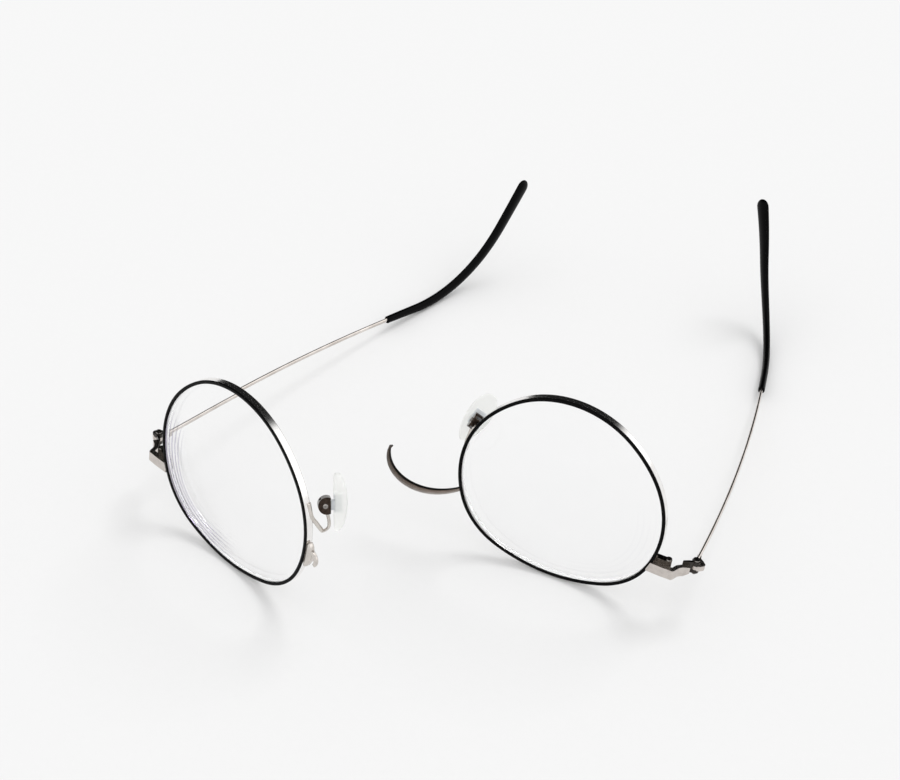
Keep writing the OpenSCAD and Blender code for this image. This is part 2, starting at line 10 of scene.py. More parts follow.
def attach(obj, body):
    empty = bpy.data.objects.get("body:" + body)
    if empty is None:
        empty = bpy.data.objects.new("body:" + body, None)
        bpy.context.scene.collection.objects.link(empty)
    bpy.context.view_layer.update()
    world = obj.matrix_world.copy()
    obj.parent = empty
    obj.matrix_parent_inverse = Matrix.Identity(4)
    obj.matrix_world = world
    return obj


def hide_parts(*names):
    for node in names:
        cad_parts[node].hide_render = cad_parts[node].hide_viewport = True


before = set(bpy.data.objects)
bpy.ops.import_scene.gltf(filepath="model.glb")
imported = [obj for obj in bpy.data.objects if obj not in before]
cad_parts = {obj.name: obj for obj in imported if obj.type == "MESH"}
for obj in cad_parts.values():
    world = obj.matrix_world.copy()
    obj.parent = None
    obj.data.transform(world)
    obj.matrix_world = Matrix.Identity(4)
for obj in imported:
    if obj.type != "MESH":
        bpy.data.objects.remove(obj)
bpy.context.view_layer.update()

# ---------------------------------------------------------------- sizes, in millimetres and degrees
MM = 0.001
SIDES = ("left", "right")
OUTWARD = {"left": -1, "right": 1}
# Where each half lies and how it is turned, and the shift that centres the two
CENTRING = (-7.77, -15.66, 0)
PLACE = {"left": (-48.6, -39.4, 23.36), "right": (25.5, -40.1, 23.39)}
TURN = {"left": -43.5, "right": -24.3}
TILT_BACK = {"left": -7.8, "right": -7.2}
LEAN = {"left": 1.2, "right": 2.5}

# Lens outline: tangent arcs from the brow edge to the cheek edge
TURNS = (0, 21, 68, 126, 143, 180)
DRAWN_RADII = (37, 17, 25, 31)
BROW_DROP = 22.9
RIM_DEPTH = 2.0
RIM_HALF = 0.4
RIM_EDGE_BREAK = 0.12
RIM_CORNER = RIM_EDGE_BREAK * 0.3
GROOVE = 0.35
GROOVE_MOUTH = (0.65, 1.35)
GROOVE_FLOOR = (0.7, 1.3)
PAINT_WRAP = 0.3
PAINT_EDGE = 0.04
SLIT_LEVEL = -9.05
SLIT = 0.1
SLIT_SEARCH_STEP, SLIT_SEARCH_REACH = 0.5, 2
LENS_FRONT_RADIUS = 150
LENS_BACK_RADIUS = 105
LENS_MIDDLE = 1.3
LENS_DOME = 1.5
LENS_PLAY = 0.05
LENS_CROWDING = 1.3
LENS_EDGE = (0.7, 1.3)
LENS_RIDGE = (0.95, 1.05)
LENS_RIDGE_PLAY = 0.03
# Edge rings, painted reflections of the thick lens edge: the side of a lens that shows them,
# outward and up, where they begin on the way toward it, how strong they are, their spacing and how
# far in they fade
RING_SIDE = (0.77, -0.64)
RING_START, RING_SPREAD = 0.5, 0.3
RING_STRENGTH = {"left": 1.0, "right": 0.04}
RING_GAP = 0.68
RING_FADE = (5.2, 7.6)

# Hinge and temples
HINGE = (32.7, 5.1)
TEMPLE_OFFSET = -0.15
TEMPLE_LEAD = 0.6
TEMPLE_LEVEL = -9.1
WIRE_WIDTH = 0.8
WIRE_HEIGHT = 1.2
WIRE_START = 1.2
WIRE_TUCK = 4
BEND_LENGTH = 37
TIP_LENGTH = 62.8
TIP_WIDTH = 1.8
TIP_START_HEIGHT = 2.1
TIP_END_HEIGHT = 4.8
TIP_ROUND = 2.2
# Sections along the tip's rounded end and its lip, and how small they are at the very ends
TIP_END_STEPS = (0.2, 0.4, 0.6, 0.75, 0.87, 0.95, 0.99)
TIP_END_SHARE = 0.12
TIP_LIP_STEPS = (0, 0.05, 0.12, 0.25)
TIP_LIP_SHARE = 0.82
TIP_LIP_CLEAR = 0.4
TIP_SNUG = 0.985
OPEN = {"left": 9.4, "right": -0.8}
LENGTH = {"left": 145.3, "right": 141.7}
BEND_AT = {"left": 111.7, "right": 107.3}
BEND = {"left": 53.5, "right": 63.5}
# Sideways turn before the bend and from the bend on, each for a given run
TEMPLE_BOW = 12
BOW_RUN = 100
CURL = {"left": -6.5, "right": 39.9}
CURL_RUN = 50

# Pads
PAD_SCREW = (-24.4, 5.4, 6.9)
PAD_ANGLES = {"left": (53, 3, 25), "right": (68, -20, 28)}
PAD_LENGTH, PAD_WIDTH, PAD_THICKNESS = 13, 5.5, 2.9
PAD_DOME_RADIUS = 19
PAD_REACH = 2.05
PAD_RISE = 0.6
PAD_EGG = 0.14
PAD_SNUG = 0.995
# Share of the pad's height at each section and share of its outline there
PAD_SECTIONS = (
    (0.0, 0.93), (0.06, 0.975), (0.15, 1.0), (0.4, 1.0), (0.6, 0.985), (0.76, 0.95),
    (0.87, 0.88), (0.94, 0.78), (0.975, 0.65), (0.992, 0.48), (1.0, 0.28),
)
INSERT_LENGTH, INSERT_WIDTH, INSERT_THICKNESS = 4, 2.8, 1.5
INSERT_PLAY = 0.04
ARM_ROOT = ((-23.2, 1.6, 8.4), (-24.15, 1.93, 5.05), (-24.44, 3.22, 2.93))
ARM_PATH = {
    "left": ARM_ROOT + (
        (-24.85, 4.6, 0.68), (-25.13, 5, 0.24), (-25.88, 5.4, 1.12), (-26.17, 5.6, 2.12),
        (-25.81, 5.7, 3.48), (-25.34, 5.42, 5.3)),
    "right": ARM_ROOT + (
        (-24.7, 3.7, 1), (-25, 3.95, 0.3), (-25.55, 4.1, 0.85), (-25.67, 4.25, 1.85),
        (-25.38, 4.6, 3.3), (-25.14, 5.02, 5.2)),
}
ARM_HALF = (
    (0.45, 0.35), (0.5, 0.35), (0.5, 0.35), (0.5, 0.36), (0.42, 0.34), (0.36, 0.32),
    (0.36, 0.32), (0.36, 0.34), (0.38, 0.38),
)
ARM_ROUNDNESS = 2.6

# Bridge and its stub: cubic curves from the root to the break
BRIDGE = ((-23.6, 1.3, -9.1), (-33, -1.6, -15.45), (-42.5, -2.4, -10.6), (-43.15, 1, -5.7))
BRIDGE_DEPTH = 1.0
BRIDGE_HEIGHT = 1.9
BRIDGE_ROOT_HEIGHT = 0.9
BRIDGE_BREAK_HEIGHT = 0.6
BAND_ROUNDNESS = 3.0
HOOK_STEPS = ((0.2, 0, 0.8), (0.65, 0, 1.15))
HOOK_HALF = ((0.36, 0.4), (0.2, 0.28))
STUB = ((-24.9, 1, -3.4), (-27.9, 0.8, -2.2), (-28.8, 0.6, -4.4), (-27.6, 0.9, -5.9))
STUB_ROOT_HALF = (0.78, 0.5)
STUB_BREAK_HALF = (0.46, 0.34)
STUB_PLATE = (
    (-24.9, -7.9), (-25.8, -7.2), (-26.7, -5.4), (-26.8, -3.6), (-26.3, -1.6), (-25.7, -0.8),
    (-25.2, -1.2), (-25.05, -4), (-24.6, -7.4),
)
STUB_PLATE_FRONT, STUB_PLATE_DEPTH = 0.3, 1.4
STUB_PLATE_ROUNDING = 0.45

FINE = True
RIM_STEP = 0.5 if FINE else 3
LENS_STEP, LENS_ROWS = (1, 40) if FINE else (6, 10)
WIRE_STEPS, WIRE_SIDES = (140, 20) if FINE else (30, 8)
TIP_STEPS, TIP_SIDES = (110, 32) if FINE else (24, 10)
ARM_STEPS, ARM_SIDES = (10, 20) if FINE else (3, 8)
PAD_SIDES = 72 if FINE else 20
BRIDGE_STEPS, BRIDGE_SIDES = (120, 28) if FINE else (24, 10)
STUB_STEPS, STUB_SIDES = (40, 24) if FINE else (10, 10)


# ---------------------------------------------------------------- frames of the two halves
def half_matrix(side):
    """From a half's own outward, back and up millimetres to metres in the shared frame."""
    place = Vector(PLACE[side]) + Vector(CENTRING)
    turn = Matrix.Rotation(math.radians(TURN[side]), 4, "Z")
    tilt = Matrix.Rotation(math.radians(TILT_BACK[side]), 4, "X")
    lean = Matrix.Rotation(math.radians(LEAN[side]), 4, "Y")
    flip = Matrix.Diagonal((OUTWARD[side], 1, 1, 1))
    return Matrix.Scale(MM, 4) @ Matrix.Translation(place) @ turn @ tilt @ lean @ flip


def temple_matrix(side):
    """The temple's frame: its hinge axis up and its wire leaving backward."""
    pin = Matrix.Translation((*HINGE, TEMPLE_LEVEL))
    return half_matrix(side) @ pin @ Matrix.Rotation(math.radians(-OPEN[side]), 4, "Z")


def pad_matrix(side):
    """The pad's frame: its screw at the origin and its soft side toward negative x."""
    splay, nod, lean = PAD_ANGLES[side]
    return (half_matrix(side) @ Matrix.Translation(PAD_SCREW)
            @ Matrix.Rotation(math.radians(-splay), 4, "Z")
            @ Matrix.Rotation(math.radians(nod), 4, "Y")
            @ Matrix.Rotation(math.radians(-lean), 4, "X"))


# ---------------------------------------------------------------- mesh helpers
def sin(degrees):
    return math.sin(math.radians(degrees))


def cos(degrees):
    return math.cos(math.radians(degrees))


def dome_sag(r, radius):
    return radius - math.sqrt(radius * radius - r * r)


def make_object(name, points, faces, matrix, uvs=None):
    """A smooth mesh object from points in a local frame, with its faces turned outward."""
    placed = [matrix @ Vector(p) for p in points]
    mesh = bpy.data.meshes.new(name)
    mesh.from_pydata(placed, [], faces)
    if uvs is not None:
        layer = mesh.uv_layers.new(name="along")
        for loop in mesh.loops:
            layer.data[loop.index].uv = uvs[loop.vertex_index]
    work = bmesh.new()
    work.from_mesh(mesh)
    bmesh.ops.recalc_face_normals(work, faces=work.faces)
    work.to_mesh(mesh)
    work.free()
    for polygon in mesh.polygons:
        polygon.use_smooth = True
    obj = bpy.data.objects.new(name, mesh)
    bpy.context.scene.collection.objects.link(obj)
    return obj


def band(a, b, count):
    """Faces between two loops of points that start at a and b."""
    return [(a + j, a + (j + 1) % count, b + (j + 1) % count, b + j) for j in range(count)]


def tube_faces(sections, sides):
    """Walls between neighbouring sections, and a cap at each end."""
    faces = []
    for k in range(sections - 1):
        faces += band(k * sides, (k + 1) * sides, sides)
    faces.append(tuple(range(sides)))
    faces.append(tuple((sections - 1) * sides + j for j in range(sides)))
    return faces


def sweep(name, path, halves, up, sides, matrix, roundness=2.0):
    """A tube along a path. roundness 2 is an ellipse and more is closer to a rectangle."""
    path = [np.array(p, float) for p in path]
    up = np.array(up, float)
    points, uvs = [], []
    last = len(path) - 1
    run = 0.0
    for k, centre in enumerate(path):
        ahead = path[min(k + 1, last)] - path[max(k - 1, 0)]
        ahead /= np.linalg.norm(ahead)
        side = np.cross(ahead, up)
        side /= np.linalg.norm(side)
        lift = np.cross(side, ahead)
        run += np.linalg.norm(centre - path[max(k - 1, 0)])
        for j in range(sides):
            a = 2 * math.pi * j / sides
            c, s = math.cos(a), math.sin(a)
            c = math.copysign(abs(c) ** (2 / roundness), c)
            s = math.copysign(abs(s) ** (2 / roundness), s)
            points.append(centre + halves[k][0] * c * side + halves[k][1] * s * lift)
            uvs.append((run, j / sides))
    return make_object(name, points, tube_faces(len(path), sides), matrix, uvs=uvs)


def mark(obj, name, values):
    """A number at each point, which a material reads by its name."""
    layer = obj.data.attributes.new(name, "FLOAT", "POINT")
    layer.data.foreach_set("value", values)


def soften(obj, width, segments=3):
    """Rounded edges wherever two faces meet at 30 degrees or more."""
    bevel = obj.modifiers.new("edge_break", "BEVEL")
    bevel.width = width * MM
    bevel.segments = segments
    bevel.limit_method = "ANGLE"
    bevel.angle_limit = math.radians(30)


# ---------------------------------------------------------------- lens outline
def outline_arcs():
    """Centre and radius of each arc. The last radius makes the outline close on its axis."""
    run = 0.0
    for i, radius in enumerate(DRAWN_RADII):
        run += radius * (sin(TURNS[i + 1]) - sin(TURNS[i]))
    radii = (*DRAWN_RADII, run / sin(TURNS[4]))
    joint = np.array([0.0, -BROW_DROP])
    arcs = []
    for i, radius in enumerate(radii):
        centre = joint + radius * np.array([-sin(TURNS[i]), cos(TURNS[i])])
        arcs.append((centre, radius))
        joint = centre + radius * np.array([sin(TURNS[i + 1]), -cos(TURNS[i + 1])])
    return arcs


def outline(step):
    """Points on the outline with their outward directions, once round from the brow edge."""
    arcs = outline_arcs()
    half = []
    for i, (centre, radius) in enumerate(arcs):
        count = max(1, round((TURNS[i + 1] - TURNS[i]) / step))
        for k in range(count):
            a = TURNS[i] + (TURNS[i + 1] - TURNS[i]) * k / count
            out = np.array([sin(a), -cos(a)])
            half.append((centre + radius * out, out))
    centre, radius = arcs[-1]
    top = (centre + radius * np.array([0.0, 1.0]), np.array([0.0, 1.0]))
    mirror = np.array([-1.0, 1.0])
    other = [(p * mirror, d * mirror) for p, d in reversed(half[1:])]
    return half + [top] + other


def slit_ring(name, profile, matrix, step, slit):
    """A closed section of (grow, back) points run round the outline from slit edge to edge."""
    low, high = slit
    spots = outline(step)
    outer = [k for k, (p, _) in enumerate(spots) if p[0] > 0]
    cut = min(outer, key=lambda k: abs(spots[k][0][1] - (low + high) / 2))
    spots = [level_spot(high)] + spots[cut + 1:] + spots[:cut] + [level_spot(low)]
    count = len(profile)
    points, uvs = [], []
    run = 0.0
    for k, (p, out) in enumerate(spots):
        run += float(np.linalg.norm(p - spots[max(k - 1, 0)][0]))
        for j, (grow, back) in enumerate(profile):
            q = p + grow * out
            points.append((q[0], back, q[1]))
            uvs.append((run, j / count))
    return make_object(name, points, tube_faces(len(spots), count), matrix, uvs=uvs)


def level_spot(level):
    """The outline's outer point at a height, with its outward direction."""
    spots = [s for s in outline(SLIT_SEARCH_STEP)
             if s[0][0] > 0 and abs(s[0][1] - level) < SLIT_SEARCH_REACH]
    spots.sort(key=lambda s: s[0][1])
    for (p, d), (q, e) in zip(spots, spots[1:]):
        if p[1] <= level <= q[1]:
            t = (level - p[1]) / (q[1] - p[1])
            out = d + (e - d) * t
            return p + (q - p) * t, out / np.linalg.norm(out)
    raise ValueError("level outside the lens")


# ---------------------------------------------------------------- temple line
def temple_way(s, side):
    """The temple's direction at a run along it: a steady bow, then the bend behind the ear."""
    start = BEND_AT[side] - BEND_LENGTH / 2
    heading = -TEMPLE_BOW * min(s, start) / BOW_RUN
    if s > start:
        heading -= CURL[side] * (s - start) / CURL_RUN
    rise = BEND[side] * max(0, min(1, (s - start) / BEND_LENGTH))
    return np.array([sin(heading) * cos(rise), cos(heading) * cos(rise), sin(rise)])


def temple_line(side):
    """Points along the temple, one millimetre apart."""
    point = np.array([TEMPLE_OFFSET, TEMPLE_LEAD, 0.0])
    line = [point]
    for k in range(int(LENGTH[side]) + 1):
        point = point + temple_way(k + 0.5, side)
        line.append(point)
    return line


def on_line(line, s):
    """The point at a run along the line."""
    k = min(int(s), len(line) - 2)
    return line[k] + (line[k + 1] - line[k]) * (s - k)


def spaced(start, end, count):
    """Even steps from start to end."""
    return [start + (end - start) * k / count for k in range(count + 1)]


# ---------------------------------------------------------------- curves
def pulled(a, b, c, d, t):
    """The point at share t of the curve from a to d that b and c pull on."""
    a, b, c, d = (np.array(v, float) for v in (a, b, c, d))
    return (1 - t) ** 3 * a + 3 * (1 - t) ** 2 * t * b + 3 * (1 - t) * t * t * c + t ** 3 * d


def through(values, count):
    """A smooth curve through all the values."""
    values = [np.array(v, float) for v in values]
    last = len(values) - 1
    result = []
    for k in range(last):
        p, q = values[max(k - 1, 0)], values[k]
        r, s = values[k + 1], values[min(k + 2, last)]
        for j in range(count):
            t = j / count
            result.append(0.5 * (2 * q + t * (r - p) + t * t * (2 * p - 5 * q + 4 * r - s)
                                 + t ** 3 * (3 * q - p - 3 * r + s)))
    result.append(values[-1])
    return result


def blended(values, count):
    """Even steps from each value to the next."""
    values = [np.array(v, float) for v in values]
    result = []
    for a, b in zip(values, values[1:]):
        result += [a + (b - a) * j / count for j in range(count)]
    result.append(values[-1])
    return result


# ---------------------------------------------------------------- materials
def add_node(tree, kind, values=None, **settings):
    """A node with its settings. Each input gets a value or a link from another node's socket."""
    node = tree.nodes.new(kind)
    for key, value in settings.items():
        setattr(node, key, value)
    for key, value in (values or {}).items():
        if isinstance(value, bpy.types.NodeSocket):
            tree.links.new(value, node.inputs[key])
        else:
            node.inputs[key].default_value = value
    return node


class Nodes:
    """A short way to write a node material. Textures are in millimetres."""

    def __init__(self, name):
        self.material = bpy.data.materials.new(name)
        self.material.use_nodes = True
        self.tree = self.material.node_tree
        self.tree.nodes.clear()
        self.output = self.add("ShaderNodeOutputMaterial")

    def add(self, kind, values=None, **settings):
        return add_node(self.tree, kind, values, **settings)

    def coordinates(self):
        place = self.add("ShaderNodeTexCoord")
        scale = 1 / MM
        return self.add("ShaderNodeMapping", {"Vector": place.outputs["Object"],
                                              "Scale": (scale, scale, scale)}).outputs[0]

    def attribute(self, name):
        return self.add("ShaderNodeAttribute", attribute_name=name).outputs["Fac"]

    def math(self, operation, a, b=None):
        values = {0: a} if b is None else {0: a, 1: b}
        return self.add("ShaderNodeMath", values, operation=operation).outputs[0]

    def noise(self, scale, detail=4.0, roughness=0.6, vector=None):
        source = vector if vector is not None else self.coordinates()
        node = self.add("ShaderNodeTexNoise", {"Vector": source, "Scale": scale,
                                               "Detail": detail, "Roughness": roughness})
        return node.outputs["Fac"]

    def ramp(self, fac, low, high, start=0.3, end=0.7):
        """From low to high as fac goes from start to end."""
        node = self.add("ShaderNodeMapRange", {"Value": fac, "From Min": start, "From Max": end,
                                               "To Min": low, "To Max": high})
        return node.outputs["Result"]

    def mix(self, fac, a, b):
        """The colour a turning into b. Sockets 6, 7 and 2 are the node's colour ones."""
        return self.add("ShaderNodeMix", {"Factor": fac, 6: a, 7: b}, data_type="RGBA").outputs[2]

    def bump(self, height, strength, distance):
        """Relief of a height, with its distance in metres."""
        return self.add("ShaderNodeBump", {"Height": height, "Strength": strength,
                                           "Distance": distance}).outputs["Normal"]

    def finish(self, shader):
        self.tree.links.new(shader, self.output.inputs["Surface"])
        return self.material


def colour(r, g, b):
    return (r, g, b, 1.0)


def metal(name, base, dark, rough_low, rough_high, grain=3.0, wear=0.5):
    """Satin metal with darker patches and fine scratches."""
    n = Nodes(name)
    patches = n.noise(grain * 0.25, 5.0)
    scratches = n.noise(grain * 6, 8.0, 0.75)
    tone = n.mix(n.ramp(patches, 0.0, wear, 0.42, 0.75), base, dark)
    rough = n.ramp(scratches, rough_low, rough_high)
    shader = n.add("ShaderNodeBsdfPrincipled", {
        "Base Color": tone, "Metallic": 1.0, "Roughness": rough,
        "Normal": n.bump(scratches, 0.12, 0.00004),
    })
    return n.finish(shader.outputs[0])


def rim_material():
    """Black enamel in front with a ragged edge, bright metal at the side, duller metal behind."""
    n = Nodes("rim_enamel_and_metal")
    edge = n.noise(1.6, 4.0)
    shifted = n.math("ADD", n.attribute("paint"), n.ramp(edge, -0.2, 0.2))
    painted = n.ramp(shifted, 0.0, 1.0, 0.45, 0.55)
    specks = n.noise(5.0, 6.0, 0.7)
    enamel = n.add("ShaderNodeBsdfPrincipled", {
        "Base Color": n.mix(n.ramp(edge, 0, 1), colour(0.001, 0.001, 0.0012),
                            colour(0.003, 0.003, 0.003)),
        "Roughness": n.ramp(specks, 0.15, 0.3), "Specular IOR Level": 0.05,
        "Normal": n.bump(specks, 0.1, 0.00003),
    })
    patches = n.ramp(n.noise(0.5, 4.0), 0, 1)
    bright = n.mix(patches, colour(0.95, 0.94, 0.93), colour(0.84, 0.82, 0.80))
    dull = n.mix(patches, colour(0.50, 0.48, 0.46), colour(0.36, 0.34, 0.325))
    bare = n.add("ShaderNodeBsdfPrincipled", {
        "Base Color": n.mix(n.attribute("rear"), bright, dull),
        "Metallic": 1.0, "Roughness": n.ramp(specks, 0.12, 0.22),
        "Normal": n.bump(specks, 0.12, 0.00003),
    })
    mixed = n.add("ShaderNodeMixShader", {0: painted, 1: bare.outputs[0], 2: enamel.outputs[0]})
    return n.finish(mixed.outputs[0])


def lens_material():
    """Clear lens with smudges, thin purple-grey rings by one edge painted in as reflections inside
    its thick edge, and a whitish ground edge.

    Shadow and diffuse rays pass straight through, so that the lens casts only a faint shadow.
    """
    n = Nodes("clear_lens")
    smudge = n.noise(0.12, 5.0, 0.6)
    scratch = n.noise(2.5, 9.0, 0.8)
    inward = n.attribute("inward")
    # Rings painted into the glass colour: painted reflections inside the thick edge, on one side
    # and fading inward.
    line = n.ramp(n.math("PINGPONG", inward, RING_GAP), 1.0, 0.0, 0.05, 0.3)
    near = n.ramp(inward, 1.0, 0.0, *RING_FADE)
    rings = n.math("MULTIPLY", n.math("MULTIPLY", line, near), n.attribute("painted_ring_reflection"))
    clear = n.mix(n.ramp(smudge, 0, 1), colour(0.998, 0.998, 0.998), colour(0.99, 0.99, 0.992))
    glass = n.add("ShaderNodeBsdfPrincipled", {
        "Base Color": n.mix(rings, clear, colour(0.14, 0.10, 0.27)),
        "Transmission Weight": 1.0, "IOR": 1.3, "Specular IOR Level": 0.2,
        "Roughness": 0.0, "Normal": n.bump(scratch, 0.01, 0.00001),
    })
    frosted = n.add("ShaderNodeBsdfPrincipled", {
        "Base Color": n.mix(n.ramp(scratch, 0, 1), colour(0.96, 0.96, 0.96),
                            colour(0.93, 0.93, 0.935)),
        "Roughness": 0.9, "Specular IOR Level": 0.0,
    })
    both = n.add("ShaderNodeMixShader", {0: n.attribute("ground"), 1: glass.outputs[0],
                                         2: frosted.outputs[0]})
    path = n.add("ShaderNodeLightPath")
    lit = n.math("MAXIMUM", path.outputs["Is Shadow Ray"], path.outputs["Is Diffuse Ray"])
    open_ = n.add("ShaderNodeBsdfTransparent", {"Color": colour(0.995, 0.995, 0.995)})
    final = n.add("ShaderNodeMixShader", {0: lit, 1: both.outputs[0], 2: open_.outputs[0]})
    return n.finish(final.outputs[0])


def tip_material():
    """Satin black plastic, a little greyer where it shows wear."""
    n = Nodes("black_tip_plastic")
    fine = n.noise(2.0, 6.0, 0.7)
    wear = n.noise(0.15, 5.0)
    shader = n.add("ShaderNodeBsdfPrincipled", {
        "Base Color": n.mix(n.ramp(wear, 0, 1, 0.4, 0.8), colour(0.0008, 0.0008, 0.001),
                            colour(0.002, 0.002, 0.0023)),
        "Roughness": n.ramp(fine, 0.22, 0.36), "Specular IOR Level": 0.05,
        "Normal": n.bump(fine, 0.15, 0.00004),
    })
    return n.finish(shader.outputs[0])


def wire_material():
    """Rose silver wire, drawn along its length."""
    n = Nodes("rose_silver_wire")
    along = n.add("ShaderNodeUVMap", uv_map="along").outputs["UV"]
    stretched = n.add("ShaderNodeMapping", {"Vector": along, "Scale": (0.4, 60, 1)}).outputs[0]
    lines = n.noise(1.0, 6.0, 0.7, vector=stretched)
    patches = n.noise(0.2, 5.0)
    shader = n.add("ShaderNodeBsdfPrincipled", {
        "Base Color": n.mix(n.ramp(patches, 0, 1), colour(0.78, 0.73, 0.69),
                            colour(0.55, 0.50, 0.46)),
        "Metallic": 1.0, "Roughness": n.ramp(lines, 0.12, 0.28),
        "Normal": n.bump(lines, 0.2, 0.00003),
    })
    return n.finish(shader.outputs[0])


def bridge_material():
    """Engraved band: fine crossed cuts with dirt in them, darker toward the break, with a painted
    highlight along its lower edge and painted shade along its upper edge.
    """
    n = Nodes("engraved_bridge_metal")
    along = n.add("ShaderNodeUVMap", uv_map="along").outputs["UV"]
    cuts = []
    for slant in (9, -9):
        turned = n.add("ShaderNodeMapping", {"Vector": along, "Scale": (2.2, slant, 1)})
        split = n.add("ShaderNodeSeparateXYZ", {0: turned.outputs[0]})
        total = n.math("ADD", split.outputs[0], split.outputs[1])
        cuts.append(n.ramp(n.math("PINGPONG", total, 0.5), 0.0, 1.0, 0.02, 0.3))
    pattern = n.math("MINIMUM", *cuts)
    dirt = n.noise(0.8, 5.0)
    place = n.add("ShaderNodeSeparateXYZ", {0: along})
    run, part = place.outputs[0], place.outputs[1]
    # Around the band's section: light grey toward the lower edge as a painted highlight, brown
    # above it.
    across = n.math("COSINE", n.math("MULTIPLY", part, 2 * math.pi))
    painted_lower_highlight = n.mix(n.ramp(across, 0, 1, -0.2, 0.8), colour(0.30, 0.24, 0.20),
                 colour(0.86, 0.83, 0.80))
    groove = n.mix(n.ramp(pattern, 0.55, 1), colour(0.02, 0.017, 0.015), painted_lower_highlight)
    stained = n.mix(n.ramp(dirt, 0, 0.6, 0.4, 0.8), groove, colour(0.16, 0.13, 0.11))
    aged = n.mix(n.ramp(run, 0.0, 0.75, 6, 24), stained, colour(0.05, 0.04, 0.033))
    # Painted shade: the upper edge of the band is made near-black.
    tone = n.mix(n.ramp(across, 1, 0, -0.75, -0.45), aged, colour(0.01, 0.009, 0.008))
    shader = n.add("ShaderNodeBsdfPrincipled", {
        "Base Color": tone, "Metallic": 1.0, "Roughness": n.ramp(dirt, 0.3, 0.5),
        "Normal": n.bump(pattern, 0.6, 0.00012),
    })
    return n.finish(shader.outputs[0])


def pad_material():
    """Milky clear silicone that lets shadow rays through."""
    n = Nodes("pad_silicone")
    cloud = n.noise(0.35, 5.0)
    fine = n.noise(3.0, 6.0)
    shader = n.add("ShaderNodeBsdfPrincipled", {
        "Base Color": n.mix(n.ramp(cloud, 0, 1), colour(0.985, 0.987, 0.975),
                            colour(0.965, 0.97, 0.95)),
        "Transmission Weight": 0.75, "IOR": 1.06, "Roughness": n.ramp(fine, 0.3, 0.45),
        "Specular IOR Level": 0.3, "Normal": n.bump(fine, 0.08, 0.00005),
    })
    path = n.add("ShaderNodeLightPath")
    clear = n.add("ShaderNodeBsdfTransparent", {"Color": colour(0.97, 0.97, 0.96)})
    lit = n.add("ShaderNodeMixShader", {0: path.outputs["Is Shadow Ray"],
                                        1: shader.outputs[0], 2: clear.outputs[0]})
    return n.finish(lit.outputs[0])


def insert_material():
    """Pale plastic of the core inside a pad."""
    n = Nodes("pad_core_plastic")
    fine = n.noise(2.0, 5.0)
    shader = n.add("ShaderNodeBsdfPrincipled", {
        "Base Color": n.mix(n.ramp(fine, 0, 1), colour(0.85, 0.875, 0.89),
                            colour(0.78, 0.815, 0.835)),
        "Roughness": n.ramp(fine, 0.35, 0.5), "Normal": n.bump(fine, 0.1, 0.00003),
    })
    return n.finish(shader.outputs[0])


MATERIALS = {
    "rim_paint": rim_material(),
    "lens": lens_material(),
    # The rim lock blocks' metal is made near-black: painted shade, for the shadow they sit in
    # behind the endpiece.
    "hardware": metal("lock_metal_painted_shade", colour(0.13, 0.115, 0.10), colour(0.006, 0.005, 0.005),
                      0.1, 0.25, grain=7, wear=1.0),
    "screws": metal("screw_steel", colour(0.40, 0.38, 0.36), colour(0.08, 0.07, 0.065),
                    0.1, 0.22, grain=7, wear=1.0),
    "endpiece": metal("endpiece_metal", colour(0.62, 0.575, 0.54), colour(0.36, 0.32, 0.29),
                      0.16, 0.34),
    "hinge": metal("hinge_metal", colour(0.055, 0.05, 0.045), colour(0.012, 0.011, 0.01),
                   0.15, 0.3),
    "temple_wire": wire_material(),
    "temple_tip": tip_material(),
    "pad_arm": metal("arm_metal", colour(0.66, 0.62, 0.58), colour(0.36, 0.33, 0.30), 0.15, 0.3),
    "pad_box": metal("box_metal", colour(0.05, 0.036, 0.028), colour(0.004, 0.003, 0.003),
                     0.1, 0.22, grain=7, wear=1.0),
    "pad_insert": insert_material(),
    "nose_pad": pad_material(),
    "bridge": bridge_material(),
}


def dress(obj, slot):
    """The slot's material on a new piece."""
    obj.data.materials.clear()
    obj.data.materials.append(MATERIALS[slot])


# ---------------------------------------------------------------- pieces
def build_rim(side):
    """The grooved rim, cut through at the lock. Marks say where it is painted and where rear."""
    inner, outer, bottom = -RIM_HALF, RIM_HALF, GROOVE - RIM_HALF
    soft = RIM_CORNER
    paint_end = PAINT_WRAP + PAINT_EDGE
    rear_start = RIM_DEPTH - RIM_EDGE_BREAK
    profile = [
        (inner + soft, 0), (outer - RIM_EDGE_BREAK, 0), (outer - soft, soft),
        (outer, RIM_EDGE_BREAK), (outer, PAINT_WRAP), (outer, paint_end),
        (outer, rear_start - PAINT_EDGE), (outer, rear_start), (outer - soft, RIM_DEPTH - soft),
        (outer - RIM_EDGE_BREAK, RIM_DEPTH), (inner + soft, RIM_DEPTH), (inner, RIM_DEPTH - soft),
        (inner, GROOVE_MOUTH[1]), (bottom, GROOVE_FLOOR[1]), (bottom, GROOVE_FLOOR[0]),
        (inner, GROOVE_MOUTH[0]), (inner, paint_end), (inner, PAINT_WRAP), (inner, soft),
    ]
    rim = slit_ring(side + "_rim_detail", profile, half_matrix(side), RIM_STEP,
                    (SLIT_LEVEL - SLIT / 2, SLIT_LEVEL + SLIT / 2))
    backs = [profile[k % len(profile)][1] for k in range(len(rim.data.vertices))]
    mark(rim, "paint", [float(back < paint_end - PAINT_EDGE / 2) for back in backs])
    mark(rim, "rear", [float(back > rear_start - PAINT_EDGE / 2) for back in backs])
    dress(rim, "rim_paint")
    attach(rim, "broken_halves")
    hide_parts(side + "_rim")


